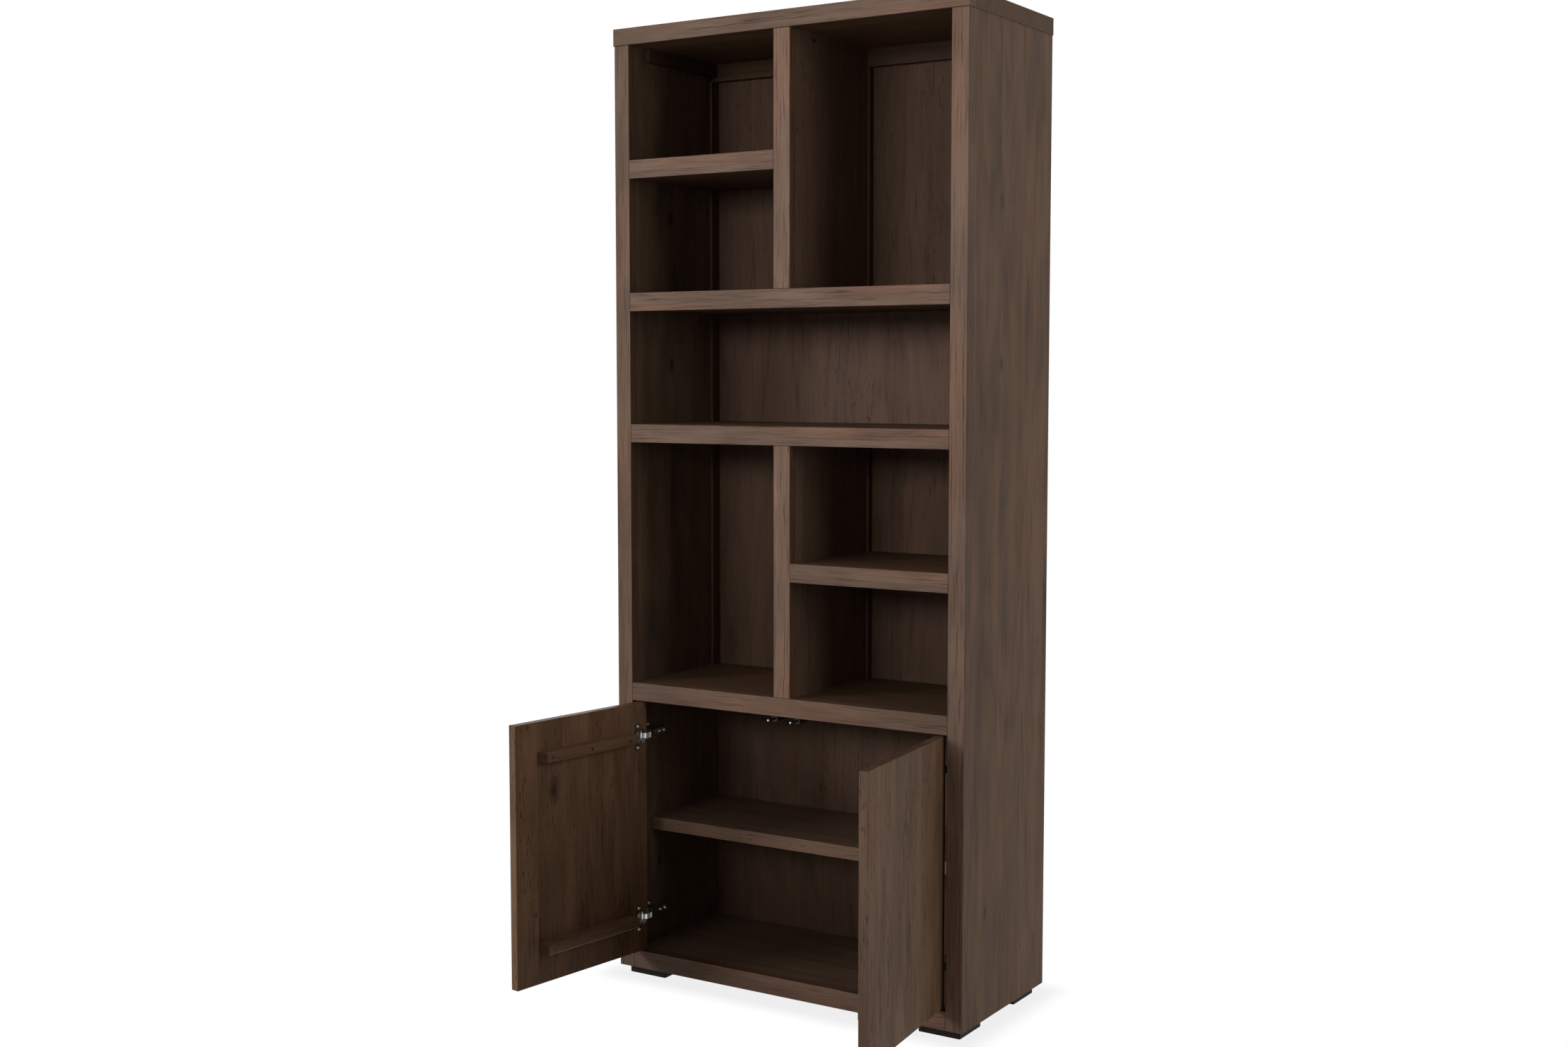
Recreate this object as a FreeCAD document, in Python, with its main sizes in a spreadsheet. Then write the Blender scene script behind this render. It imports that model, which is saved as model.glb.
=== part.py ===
import FreeCAD, Part
import os
import re

# Tall bookcase of brushed oak boards: seven open niches above a cabinet with two inset doors.
# Millimetres. X runs across the front from the middle, Y from the front plane to the back.
# Z runs up from the floor.
# The doors stand open: each is drawn shut in its opening and then swung out on its cranked cup hinges.

SIZES = {
    # case
    "case_width": 900,
    "case_depth": 405,
    "side_thick": 40,
    "shelf_thick": 42,
    "divider_thick": 42,
    "bottom_thick": 42,
    "top_thick": 38,
    "top_overhang": 2,
    "cabinet_height": 591,
    "niche_height": 257.5,
    "lipping_depth": 24,
    "arris": 1.5,
    "foot_height": 20,
    "foot_size": 100,
    "foot_side_inset": 15,
    "foot_end_inset": 20,
    "foot_round": 3,
    # back
    "back_thick": 8,
    "back_recess": 42,
    "strip_thick": 6,
    "wall_strip_depth": 30,
    "divider_strip_depth": 18,
    "rail_height": 40,
    "rail_depth": 20,
    "cleat_height": 30,
    "cleat_thick": 15,
    "cleat_front": 60,
    "cap_radius": 5,
    "cap_thick": 1.5,
    "cap_depth": 99,
    "cap_drop": 16,
    # loose cabinet shelf
    "inner_shelf_thick": 30,
    "inner_shelf_height": 273,
    "inner_shelf_setback": 71,
    "inner_shelf_end_gap": 1.5,
    "pin_radius": 2.5,
    "pin_sunk": 10,
    "pin_reach": 9,
    "pin_end_inset": 40,
    "fit_gap": 0.1,
    # doors
    "door_thick": 20,
    "door_gap": 3,
    "door_end_gap": 2.5,
    "left_open": 98,
    "right_open": 96,
    "batten_height": 23,
    "batten_thick": 30,
    "batten_rise": 2,
    "batten_start": 57,
    "batten_length": 282,
    "batten_chamfer": 3,
    "batten_screw_inset": 26,
    "batten_screw_pitch": 120,
    "screw_head_radius": 3.5,
    "screw_head_thick": 1.6,
    "screw_radius": 1.8,
    "batten_screw_length": 42,
    "strike_radius": 4,
    "strike_thick": 1.2,
    # cup hinges: pivots are measured from the stile's inner face and from the front plane, door shut
    "hinge_inset": 79,
    "cup_radius": 17.5,
    "cup_depth": 13.5,
    "cup_wall": 1,
    "cup_tab": 3,
    "flange_thick": 1.2,
    "flange_rim": 1.5,
    "flange_height": 62,
    "flange_width": 18,
    "flange_lap": 6.5,
    "flange_round": 3,
    "cup_screw_offset": 9.5,
    "cup_screw_pitch": 50,
    "cup_screw_length": 15,
    "cup_pin_length": 21,
    "arm_pivot_in": 31,
    "arm_pivot_deep": 25.5,
    "cup_pivot_in": 12.7,
    "cup_pivot_deep": 11.2,
    "link_share": 0.269,
    "link_knee_in": 28.2,
    "link_knee_deep": 14,
    "link_heel_in": 23.1,
    "link_heel_deep": 9,
    "link_width": 12,
    "link_thick": 2,
    "link_eye": 3,
    "link_notch_deep": 5,
    "link_notch_gap": 0.6,
    "pivot_radius": 1.5,
    "pivot_gap": 0.15,
    "arm_wall": 1.8,
    "arm_web": 2,
    "arm_side_gap": 0.2,
    "arm_nose_front": 3.5,
    "arm_nose_rise": 5.5,
    "arm_nose_length": 12,
    "arm_cheek": 10,
    "arm_crank_end": 62,
    "arm_rear_top": 22,
    "arm_end": 106,
    "plate_depth": 57,
    "plate_wing_depth": 20,
    "plate_wing_height": 50,
    "plate_wing_thick": 2.5,
    "plate_ridge_start": 50,
    "plate_screw_pitch": 32,
    "plate_screw_length": 18,
    "arm_screw_front": 75,
    "arm_screw_rear": 93,
    "arm_screw_length": 12,
    # push latches
    "latch_width": 14,
    "latch_height": 17.5,
    "latch_length": 62,
    "latch_front": 30,
    "latch_round": 3,
    "latch_left_place": -36.5,
    "latch_right_place": 21.5,
    "plunger_drop": 11.3,
    "plunger_radius": 3,
    "plunger_gap": 0.15,
    "plunger_bore_length": 48,
    "plunger_length": 46,
    "plunger_door_gap": 0.4,
    "plunger_stroke": 22,
}

doc = FreeCAD.newDocument("bookcase")
sheet = doc.addObject("Spreadsheet::Sheet", "Sizes")
for row, (alias, length) in enumerate(SIZES.items(), 1):
    sheet.set(f"A{row}", alias)
    sheet.set(f"B{row}", str(length))
    sheet.setAlias(f"B{row}", alias)
doc.recompute()

WORD = re.compile(r"\b(" + "|".join(SIZES) + r")\b")
UP = FreeCAD.Vector(0, 0, 1)
DOWN = FreeCAD.Vector(0, 0, -1)
FLAT = FreeCAD.Rotation()
ALONG_X = FreeCAD.Rotation(FreeCAD.Vector(0, 1, 0), 90)
ALONG_Y = FreeCAD.Rotation(FreeCAD.Vector(1, 0, 0), -90)
INTO_DOOR = FreeCAD.Rotation(FreeCAD.Vector(1, 0, 0), 90)
INTO_DOOR_WAY = FreeCAD.Vector(0, -1, 0)
EDGE_FIND = 0.01
SIDES = ("left", "right")
nodes = []


def size(alias):
    """One size of the sheet, as a number."""
    return float(sheet.get(alias))


def in_sheet(formula):
    """A formula of sizes, written as the sheet's cells."""
    return WORD.sub(r"Sizes.\1", str(formula))


def bind(obj, prop, formula):
    """Tie a property to a formula of the sheet's sizes."""
    obj.setExpression(prop, in_sheet(formula))


def number(formula):
    """A formula's value now."""
    return float(sheet.evalExpression(in_sheet(formula)))


def place(obj, x, y, z, turn=FLAT):
    """Tie an object's place to three formulas."""
    obj.Placement = FreeCAD.Placement(FreeCAD.Vector(), turn)
    for axis, formula in zip("xyz", (x, y, z)):
        bind(obj, f"Placement.Base.{axis}", formula)
    return obj


def box(label, x, y, z, dx, dy, dz):
    """A board from its lowest corner and its three extents."""
    obj = doc.addObject("Part::Box", label)
    for prop, formula in (("Length", dx), ("Width", dy), ("Height", dz)):
        bind(obj, prop, formula)
    return place(obj, x, y, z)


def rod(label, radius, length, x, y, z, turn=FLAT):
    """A round bar that starts at a point and runs along Z, or along the turned axis."""
    obj = doc.addObject("Part::Cylinder", label)
    bind(obj, "Radius", radius)
    bind(obj, "Height", length)
    return place(obj, x, y, z, turn)


def ball(label, radius, x, y, z):
    """A sphere about a point."""
    obj = doc.addObject("Part::Sphere", label)
    bind(obj, "Radius", radius)
    return place(obj, x, y, z)


def group(label, members):
    """Separate solids kept together."""
    obj = doc.addObject("Part::Compound", label)
    obj.Links = members
    return obj


def cut(label, base, tools):
    """A piece with holes."""
    obj = doc.addObject("Part::Cut", label)
    obj.Base = base
    obj.Tool = group(f"{label}_holes", tools)
    return obj


def fuse(label, members):
    """One piece made of joined forms."""
    obj = doc.addObject("Part::MultiFuse", label)
    obj.Shapes = members
    return obj


def rounded(label, base, radius, keep):
    """A piece whose straight edges chosen by keep(middle, direction) get a radius."""
    doc.recompute()
    edges = []
    for index, edge in enumerate(base.Shape.Edges, 1):
        start, end = edge.firstVertex().Point, edge.lastVertex().Point
        if keep((start + end) / 2, (end - start).normalize()):
            edges.append((index, radius, radius))
    obj = doc.addObject("Part::Fillet", label)
    obj.Base = base
    obj.Edges = edges
    return obj


def node(obj, name):
    """Name a finished piece: its label names its file."""
    obj.Label = name
    nodes.append(obj)
    return obj


# Heights and depths that several pieces share.
BOTTOM_TOP = "(foot_height + bottom_thick)"
CABINET_TOP = f"({BOTTOM_TOP} + cabinet_height)"
INNER = "(case_width / 2 - side_thick)"
BACK_FACE = "(case_depth - back_recess - back_thick)"
CORE_DEPTH = f"({BACK_FACE} - lipping_depth)"
DIVIDER_FACE = "(divider_thick / 2)"


def level(count):
    """Underside of the board that lies so many niches above the cabinet."""
    return f"({CABINET_TOP} + {count} * (shelf_thick + niche_height))"


TOP_UNDER = level(5)
CASE_HEIGHT = f"({TOP_UNDER} - foot_height)"


def front_edges(middle, direction):
    """Edges of a lipping along its show face."""
    return middle.y < EDGE_FIND and abs(direction.y) < 0.5


def lipping(name, x, z, dx, dz, front="0", depth="lipping_depth"):
    """Solid strip along a board's front edge, with softened arrises."""
    raw = box(f"{name}_raw", x, front, z, dx, depth, dz)
    node(rounded(f"{name}_soft", raw, size("arris"), front_edges), name)


def level_board(name, count, x, dx):
    """A fixed shelf or the cabinet's top, with its lipping."""
    z = level(count)
    node(box(f"{name}_core", x, "lipping_depth", z, dx, CORE_DEPTH, "shelf_thick"), name)
    lipping(f"{name}_lipping", x, z, dx, "shelf_thick")


def upright(name, low, high):
    """A divider between two levels, with its lipping."""
    z = f"({level(low)} + shelf_thick)"
    dz = f"({level(high)} - {z})"
    x = f"-{DIVIDER_FACE}"
    node(box(f"{name}_core", x, "lipping_depth", z, "divider_thick", CORE_DEPTH, dz), name)
    lipping(f"{name}_lipping", x, z, "divider_thick", dz)


def from_stile(side, inwards, width="0"):
    """X of the lower face of something that lies so far in from a side's inner face."""
    if side == "left":
        return f"(-{INNER} + {inwards})"
    return f"({INNER} - ({inwards}) - {width})"


# Hinge pivots, with the door shut.
HINGE_LEVELS = {
    "lower": f"({BOTTOM_TOP} + door_end_gap + hinge_inset)",
    "upper": f"({CABINET_TOP} - door_end_gap - hinge_inset)",
}
CUP_CENTRE = "(door_gap + cup_tab + cup_radius)"
CUP_SCREW_IN = f"({CUP_CENTRE} + cup_screw_offset)"
DOOR_WIDTH = f"({INNER} - 1.5 * door_gap)"
DOOR_HEIGHT = "(cabinet_height - 2 * door_end_gap)"


def swing(obj, side, about="door"):
    """Turn a piece drawn with the door shut to the photographed opening.

    The link turns about the arm's pin by link_share of the door's angle, against the door.
    The door turns about the cup's pin, which the link carries along.
    """
    opening = f"{side}_open"
    door_sign = -1 if side == "left" else 1
    arm_x = from_stile(side, "arm_pivot_in")
    cup_x = from_stile(side, "cup_pivot_in")
    link_cos = f"cos(link_share * {opening})"
    link_sin = f"({-door_sign} * sin(link_share * {opening}))"
    if about == "link":
        turn_axis = DOWN if door_sign > 0 else UP
        angle = f"link_share * {opening} * 1 deg"
        x = f"{arm_x} - ({link_cos} * {arm_x} - {link_sin} * arm_pivot_deep)"
        y = f"arm_pivot_deep - ({link_sin} * {arm_x} + {link_cos} * arm_pivot_deep)"
    else:
        turn_axis = UP if door_sign > 0 else DOWN
        angle = f"{opening} * 1 deg"
        reach_x = f"({cup_x} - {arm_x})"
        reach_y = "(cup_pivot_deep - arm_pivot_deep)"
        pin_x = f"({arm_x} + {link_cos} * {reach_x} - {link_sin} * {reach_y})"
        pin_y = f"(arm_pivot_deep + {link_sin} * {reach_x} + {link_cos} * {reach_y})"
        door_cos = f"cos({opening})"
        door_sin = f"({door_sign} * sin({opening}))"
        x = f"{pin_x} - ({door_cos} * {cup_x} - {door_sin} * cup_pivot_deep)"
        y = f"{pin_y} - ({door_sin} * {cup_x} + {door_cos} * cup_pivot_deep)"
    place(obj, x, y, "0", FreeCAD.Rotation(turn_axis, 1))
    bind(obj, "Placement.Rotation.Angle", angle)
    return obj


def both_hinges(label, side, make):
    """The same piece at the upper and the lower hinge, as one group."""
    return group(f"{label}_pair", [make(f"{label}_{which}", side, z) for which, z in HINGE_LEVELS.items()])


def screw(label, head_x, head_y, z, length, turn, shaft="screw_radius", head="screw_head_radius"):
    """Flat-headed screw along a turned axis, from the top of its head."""
    cap = rod(f"{label}_head", head, "screw_head_thick", head_x, head_y, z, turn)
    shank = rod(f"{label}_shank", shaft, length, head_x, head_y, z, turn)
    return fuse(label, [cap, shank])


# Case: two sides, a bottom between them, a top over them.
INTO_SIDE = {
    "left": FreeCAD.Rotation(FreeCAD.Vector(0, 1, 0), -90),
    "right": ALONG_X,
}
INNER_SHELF_UNDER = f"({BOTTOM_TOP} + inner_shelf_height)"
INNER_SHELF_DEPTH = f"({BACK_FACE} - inner_shelf_setback - inner_shelf_end_gap)"
PIN_DEPTHS = (
    "(inner_shelf_setback + pin_end_inset)",
    f"(inner_shelf_setback + {INNER_SHELF_DEPTH} - pin_end_inset)",
)
PAIR_SHARES = (-0.5, 0.5)  # two screws, half their pitch below and above a hinge's level


def side_holes(side):
    """Blind holes in a side for the shelf pins and the hinge plates' screws."""
    holes = []
    face = from_stile(side, "0")
    turn = INTO_SIDE[side]
    for index, depth in enumerate(PIN_DEPTHS):
        holes.append(rod(f"pin_hole_{side}_{index}", "pin_radius + fit_gap", "pin_sunk + fit_gap",
                         face, depth, f"{INNER_SHELF_UNDER} - pin_radius", turn))
    for which, z in HINGE_LEVELS.items():
        for share in PAIR_SHARES:
            holes.append(rod(f"plate_hole_{side}_{which}_{share}", "screw_radius + fit_gap",
                             "plate_screw_length - plate_wing_thick + fit_gap",
                             face, "plate_depth", f"{z} + {share} * plate_screw_pitch", turn))
    return holes


for side in SIDES:
    x = from_stile(side, "-side_thick", "side_thick")
    core = box(f"side_{side}_core", x, "lipping_depth", "foot_height",
               "side_thick", "case_depth - lipping_depth", CASE_HEIGHT)
    node(cut(f"side_{side}_cut", core, side_holes(side)), f"side_{side}")
    lipping(f"side_{side}_lipping", x, "foot_height", "side_thick", CASE_HEIGHT)

TOP_X = "-(case_width / 2 + top_overhang)"
TOP_WIDTH = "(case_width + 2 * top_overhang)"
top_core = box("top_core", TOP_X, "lipping_depth", TOP_UNDER, TOP_WIDTH,
               "case_depth - lipping_depth", "top_thick")
node(rounded("top_soft", top_core, size("arris"), lambda middle, way: abs(way.y) > 0.5), "top_panel")
lipping("top_panel_lipping", TOP_X, TOP_UNDER, TOP_WIDTH, "top_thick",
        "-top_overhang", "lipping_depth + top_overhang")

INNER_WIDTH = f"(2 * {INNER})"
node(box("bottom_core", f"-{INNER}", "lipping_depth", "foot_height", INNER_WIDTH,
         CORE_DEPTH, "bottom_thick"), "bottom_panel")
lipping("bottom_panel_lipping", f"-{INNER}", "foot_height", INNER_WIDTH, "bottom_thick")

# Fixed shelves and dividers: each pair of niches takes one half of the width.
level_board("cabinet_top", 0, f"-{INNER}", INNER_WIDTH)
level_board("middle_shelf", 2, f"-{INNER}", INNER_WIDTH)
level_board("upper_shelf", 3, f"-{INNER}", INNER_WIDTH)
HALF_WIDTH = f"({INNER} - {DIVIDER_FACE})"
level_board("small_shelf_right", 1, DIVIDER_FACE, HALF_WIDTH)
level_board("small_shelf_left", 4, f"-{INNER}", HALF_WIDTH)
upright("lower_divider", 0, 2)
upright("upper_divider", 3, 5)

# Back: a thin panel held by corner strips, with rails and cleats under the top.
node(box("back_core", f"-{INNER}", BACK_FACE, "foot_height", INNER_WIDTH,
         "back_thick", CASE_HEIGHT), "back_panel")


def strip(label, x, low, high, depth):
    """Corner strip in front of the back panel, from one board to the next."""
    z = f"({level(low)} + shelf_thick)"
    stop = f"({TOP_UNDER} - rail_height)" if high == 5 else level(high)
    return box(label, x, f"{BACK_FACE} - {depth}", z, "strip_thick", depth, f"{stop} - {z}")


WALL_NICHES = {"left": ((0, 2), (2, 3), (3, 4), (4, 5)), "right": ((0, 1), (1, 2), (2, 3), (3, 5))}
DIVIDER_NICHES = {"left": ((0, 2), (3, 4), (4, 5)), "right": ((0, 1), (1, 2), (3, 5))}
wall_strips = []
divider_strips = []
for side in SIDES:
    wall_x = from_stile(side, "0", "strip_thick")
    wall_strips += [strip(f"wall_strip_{side}_{low}", wall_x, low, high, "wall_strip_depth")
                    for low, high in WALL_NICHES[side]]
    divider_x = f"-{DIVIDER_FACE} - strip_thick" if side == "left" else DIVIDER_FACE
    divider_strips += [strip(f"divider_strip_{side}_{low}", divider_x, low, high, "divider_strip_depth")
                       for low, high in DIVIDER_NICHES[side]]
    rail_x = f"-{INNER}" if side == "left" else DIVIDER_FACE
    node(box(f"rail_{side}", rail_x, f"{BACK_FACE} - rail_depth", f"{TOP_UNDER} - rail_height",
             HALF_WIDTH, "rail_depth", "rail_height"), f"top_rail_{side}")
    node(box(f"cleat_{side}", from_stile(side, "0", "cleat_thick"), "cleat_front",
             f"{TOP_UNDER} - cleat_height", "cleat_thick",
             f"{BACK_FACE} - rail_depth - cleat_front", "cleat_height"), f"top_cleat_{side}")
node(group("wall_strips_all", wall_strips), "wall_strips")
node(group("divider_strips_all", divider_strips), "divider_strips")

node(rod("cap_disc", "cap_radius", "cap_thick", DIVIDER_FACE, "cap_depth",
         f"{TOP_UNDER} - cap_drop", ALONG_X), "connector_cap")

# Feet: flat blocks under the four corners.
feet = []
for sign in (-1, 1):
    for end in ("front", "rear"):
        x = f"{sign} * (case_width / 2 - foot_side_inset) - {(sign + 1) // 2} * foot_size"
        y = "foot_end_inset" if end == "front" else "case_depth - foot_end_inset - foot_size"
        foot = box(f"foot_{end}_{sign}", x, y, "0", "foot_size", "foot_size", "foot_height")
        feet.append(rounded(f"foot_{end}_{sign}_soft", foot, size("foot_round"),
                            lambda middle, way: abs(way.z) > 0.5))
node(group("feet_all", feet), "feet")

# Loose shelf in the cabinet, on four pins.
shelf = box("inner_shelf_raw", f"-{INNER} + inner_shelf_end_gap", "inner_shelf_setback",
            INNER_SHELF_UNDER, f"{INNER_WIDTH} - 2 * inner_shelf_end_gap", INNER_SHELF_DEPTH,
            "inner_shelf_thick")
node(rounded("inner_shelf_soft", shelf, size("arris"),
             lambda middle, way: abs(way.x) > 0.5 and middle.y < size("inner_shelf_setback") + EDGE_FIND),
     "cabinet_shelf")
pins = []
for side in SIDES:
    for index, depth in enumerate(PIN_DEPTHS):
        start = from_stile(side, "pin_reach")
        pins.append(rod(f"shelf_pin_{side}_{index}", "pin_radius", "pin_sunk + pin_reach",
                        start, depth, f"{INNER_SHELF_UNDER} - pin_radius", INTO_SIDE[side]))
node(group("shelf_pins_all", pins), "shelf_pins")

# Push latches under the cabinet's top: a body with a bore, and a plunger.
# The open doors leave the plungers sprung out by their stroke; a shut door holds its plunger in.
PLUNGER_LEVEL = f"({CABINET_TOP} - plunger_drop)"
PLUNGER_TIP = "(door_thick + strike_thick + plunger_door_gap - plunger_stroke)"
latches = []
for side in SIDES:
    middle_x = f"latch_{side}_place"
    raw = box(f"latch_{side}_raw", f"{middle_x} - latch_width / 2", "latch_front",
              f"{CABINET_TOP} - latch_height", "latch_width", "latch_length", "latch_height")
    body = rounded(f"latch_{side}_soft", raw, size("latch_round"),
                   lambda middle, way: abs(way.y) > 0.5 and middle.z < number(CABINET_TOP) - EDGE_FIND)
    bore = rod(f"latch_{side}_bore", "plunger_radius + plunger_gap", "plunger_bore_length",
               middle_x, "latch_front", PLUNGER_LEVEL, ALONG_Y)
    latches.append(cut(f"latch_{side}_cut", body, [bore]))
    stem_start = f"{PLUNGER_TIP} + plunger_radius"
    nose = ball(f"plunger_{side}_nose", "plunger_radius", middle_x, stem_start, PLUNGER_LEVEL)
    stem = rod(f"plunger_{side}_stem", "plunger_radius", "plunger_length - plunger_radius",
               middle_x, stem_start, PLUNGER_LEVEL, ALONG_Y)
    node(fuse(f"plunger_{side}_whole", [nose, stem]), f"latch_plunger_{side}")
node(group("latches_both", latches), "latch_bodies")


# Hinge pieces on the case: a cross-shaped plate with a ridge, and a cranked channel arm over the ridge.
RIDGE_RISE = "(arm_rear_top - arm_web)"
ARM_SCREWS = ("arm_screw_front", "arm_screw_rear")


def plate(label, side, z):
    """Wings flat on the side, and the ridge that the arm sits on, bored for four screws."""
    wings = box(f"{label}_wings", from_stile(side, "0", "plate_wing_thick"),
                "plate_depth - plate_wing_depth / 2", f"{z} - plate_wing_height / 2",
                "plate_wing_thick", "plate_wing_depth", "plate_wing_height")
    ridge = box(f"{label}_ridge", from_stile(side, "0", RIDGE_RISE), "plate_ridge_start",
                f"{z} - link_width / 2", RIDGE_RISE, "arm_end - plate_ridge_start", "link_width")
    holes = [rod(f"{label}_wing_hole_{share}", "screw_radius + fit_gap", "plate_wing_thick",
                 from_stile(side, "plate_wing_thick"), "plate_depth",
                 f"{z} + {share} * plate_screw_pitch", INTO_SIDE[side])
             for share in PAIR_SHARES]
    holes += [rod(f"{label}_{depth}", "screw_radius + fit_gap", "arm_screw_length",
                  from_stile(side, RIDGE_RISE), depth, z, INTO_SIDE[side])
              for depth in ARM_SCREWS]
    return cut(f"{label}_cut", fuse(f"{label}_whole", [wings, ridge]), holes)


def plate_screws(label, side, z):
    """Two screws through the wings into the side, two through the arm into the ridge."""
    wing_top = from_stile(side, "plate_wing_thick + screw_head_thick")
    web_top = from_stile(side, "arm_rear_top + screw_head_thick")
    screws = [screw(f"{label}_{share}", wing_top, "plate_depth",
                    f"{z} + {share} * plate_screw_pitch",
                    "plate_screw_length + screw_head_thick", INTO_SIDE[side])
              for share in PAIR_SHARES]
    screws += [screw(f"{label}_{depth}", web_top, depth, z, "arm_screw_length", INTO_SIDE[side])
               for depth in ARM_SCREWS]
    return group(f"{label}_set", screws)


def prism(outline, side, z, height):
    """Upright prism over an outline of (inwards, deep) points, centred on a level."""
    sign = 1 if side == "left" else -1
    ring = [FreeCAD.Vector(sign * (inwards - number(INNER)), deep, z - height / 2)
            for inwards, deep in outline]
    return Part.Face(Part.makePolygon(ring + ring[:1])).extrude(UP * height)


def bore_at(pivot, side, z, radius, height):
    """Upright cylinder about a pivot, centred on a level."""
    sign = 1 if side == "left" else -1
    foot = FreeCAD.Vector(sign * (pivot[0] - number(INNER)), pivot[1], z - height / 2)
    return Part.makeCylinder(radius, height, foot, UP)


def arm(label, side, z_formula):
    """Channel arm: its web steps out from the side to a nose whose cheeks hold the link's pin."""
    z = number(z_formula)
    pivot = (size("arm_pivot_in"), size("arm_pivot_deep"))
    nose_top = pivot[0] + size("arm_nose_rise")
    crest = [
        (nose_top, pivot[1] - size("arm_nose_front")),
        (nose_top, pivot[1] + size("arm_nose_length")),
        (size("arm_rear_top"), size("arm_crank_end")),
        (size("arm_rear_top"), size("arm_end")),
    ]
    outline = crest + [(inwards - size("arm_cheek"), deep) for inwards, deep in reversed(crest)]
    hollow = [(inwards - size("arm_web"), deep) for inwards, deep in outline]
    inside = size("link_width") + 2 * size("arm_side_gap")
    outside = inside + 2 * size("arm_wall")
    solid = prism(outline, side, z, outside).cut(prism(hollow, side, z, inside))
    solid = solid.cut(bore_at(pivot, side, z, size("pivot_radius") + size("fit_gap"), outside))
    inwards = FreeCAD.Vector(1 if side == "left" else -1, 0, 0)
    for depth in ARM_SCREWS:
        start = FreeCAD.Vector(number(from_stile(side, "0")), size(depth), z)
        radius = size("screw_radius") + size("fit_gap")
        solid = solid.cut(Part.makeCylinder(radius, nose_top, start, inwards))
    obj = doc.addObject("Part::Feature", label)
    obj.Shape = solid
    return obj


def ribbon(points, half):
    """Outline at a constant distance to both sides of a bent line, with mitred corners."""
    left, right = [], []
    for index, point in enumerate(points):
        before = points[max(index - 1, 0)]
        after = points[min(index + 1, len(points) - 1)]
        ways = [(FreeCAD.Vector(*b, 0) - FreeCAD.Vector(*a, 0)).normalize()
                for a, b in ((before, point), (point, after)) if a != b]
        normals = [FreeCAD.Vector(-way.y, way.x, 0) for way in ways]
        mitre = (normals[0] + normals[-1]).normalize()
        reach = mitre * (half / mitre.dot(normals[0]))
        left.append((point[0] + reach.x, point[1] + reach.y))
        right.append((point[0] - reach.x, point[1] - reach.y))
    return left + right[::-1]


def link(label, side, z_formula):
    """Hooked link: it leaves the cup by its mouth, passes round the door's edge to the arm's pin."""
    z = number(z_formula)
    arm_pin = (size("arm_pivot_in"), size("arm_pivot_deep"))
    cup_pin = (size("cup_pivot_in"), size("cup_pivot_deep"))
    line = [
        arm_pin,
        (size("link_knee_in"), size("link_knee_deep")),
        (size("link_heel_in"), size("link_heel_deep")),
        cup_pin,
    ]
    width = size("link_width")
    solid = prism(ribbon(line, size("link_thick") / 2), side, z, width)
    for pivot in (arm_pin, cup_pin):
        solid = solid.fuse(bore_at(pivot, side, z, size("link_eye"), width))
    for pivot in (arm_pin, cup_pin):
        solid = solid.cut(bore_at(pivot, side, z, size("pivot_radius") + size("pivot_gap"), width))
    obj = doc.addObject("Part::Feature", label)
    obj.Shape = solid.removeSplitter()
    return obj


# Hinge pieces on the door: a cup sunk in its inner face, with a flange, two screws and the link's other pin.
CUP_FLOOR = "(door_thick - cup_depth)"


def cup(label, side, z):
    """Round dish with a winged flange, open at its mouth and notched towards the door's edge."""
    centre = from_stile(side, CUP_CENTRE)
    dish = rod(f"{label}_dish", "cup_radius - fit_gap", "cup_depth - fit_gap", centre,
               f"{CUP_FLOOR} + fit_gap", z, ALONG_Y)
    rim = rod(f"{label}_rim", "cup_radius + flange_rim", "flange_thick", centre, "door_thick", z, ALONG_Y)
    blank = box(f"{label}_blank", from_stile(side, f"{CUP_SCREW_IN} - flange_lap", "flange_width"),
                "door_thick", f"{z} - flange_height / 2", "flange_width", "flange_thick", "flange_height")
    wings = rounded(f"{label}_wings", blank, size("flange_round"), lambda middle, way: abs(way.y) > 0.5)
    hollow = rod(f"{label}_hollow", "cup_radius - fit_gap - cup_wall", "cup_depth + flange_thick", centre,
                 f"{CUP_FLOOR} + fit_gap + cup_wall", z, ALONG_Y)
    notch_width = "(link_width + 2 * link_notch_gap)"
    notch_reach = "(cup_radius + cup_tab)"
    notch = box(f"{label}_notch", from_stile(side, "door_gap", notch_reach), "door_thick - link_notch_deep",
                f"{z} - {notch_width} / 2", notch_reach, "link_notch_deep + flange_thick", notch_width)
    bore = rod(f"{label}_bore", "pivot_radius + fit_gap", "cup_pin_length + 2 * fit_gap",
               from_stile(side, "cup_pivot_in"), "cup_pivot_deep",
               f"{z} - cup_pin_length / 2 - fit_gap")
    screw_holes = [rod(f"{label}_hole_{share}", "screw_radius + fit_gap", "flange_thick",
                       from_stile(side, CUP_SCREW_IN), "door_thick",
                       f"{z} + {share} * cup_screw_pitch", ALONG_Y) for share in PAIR_SHARES]
    whole = fuse(f"{label}_whole", [dish, rim, wings])
    return cut(f"{label}_cut", whole, [fuse(f"{label}_voids", [hollow, notch, bore]), *screw_holes])


def cup_screws(label, side, z):
    """Two screws through the flange into the door."""
    head_top = "door_thick + flange_thick + screw_head_thick"
    return group(f"{label}_set", [
        screw(f"{label}_{share}", from_stile(side, CUP_SCREW_IN), head_top,
              f"{z} + {share} * cup_screw_pitch", "cup_screw_length", INTO_DOOR)
        for share in PAIR_SHARES])


def arm_pin(label, side, z):
    """Upright pin through the arm's cheeks and the link."""
    length = "(link_width + 2 * arm_side_gap + 2 * arm_wall)"
    return rod(label, "pivot_radius", length, from_stile(side, "arm_pivot_in"), "arm_pivot_deep",
               f"{z} - {length} / 2")


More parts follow.
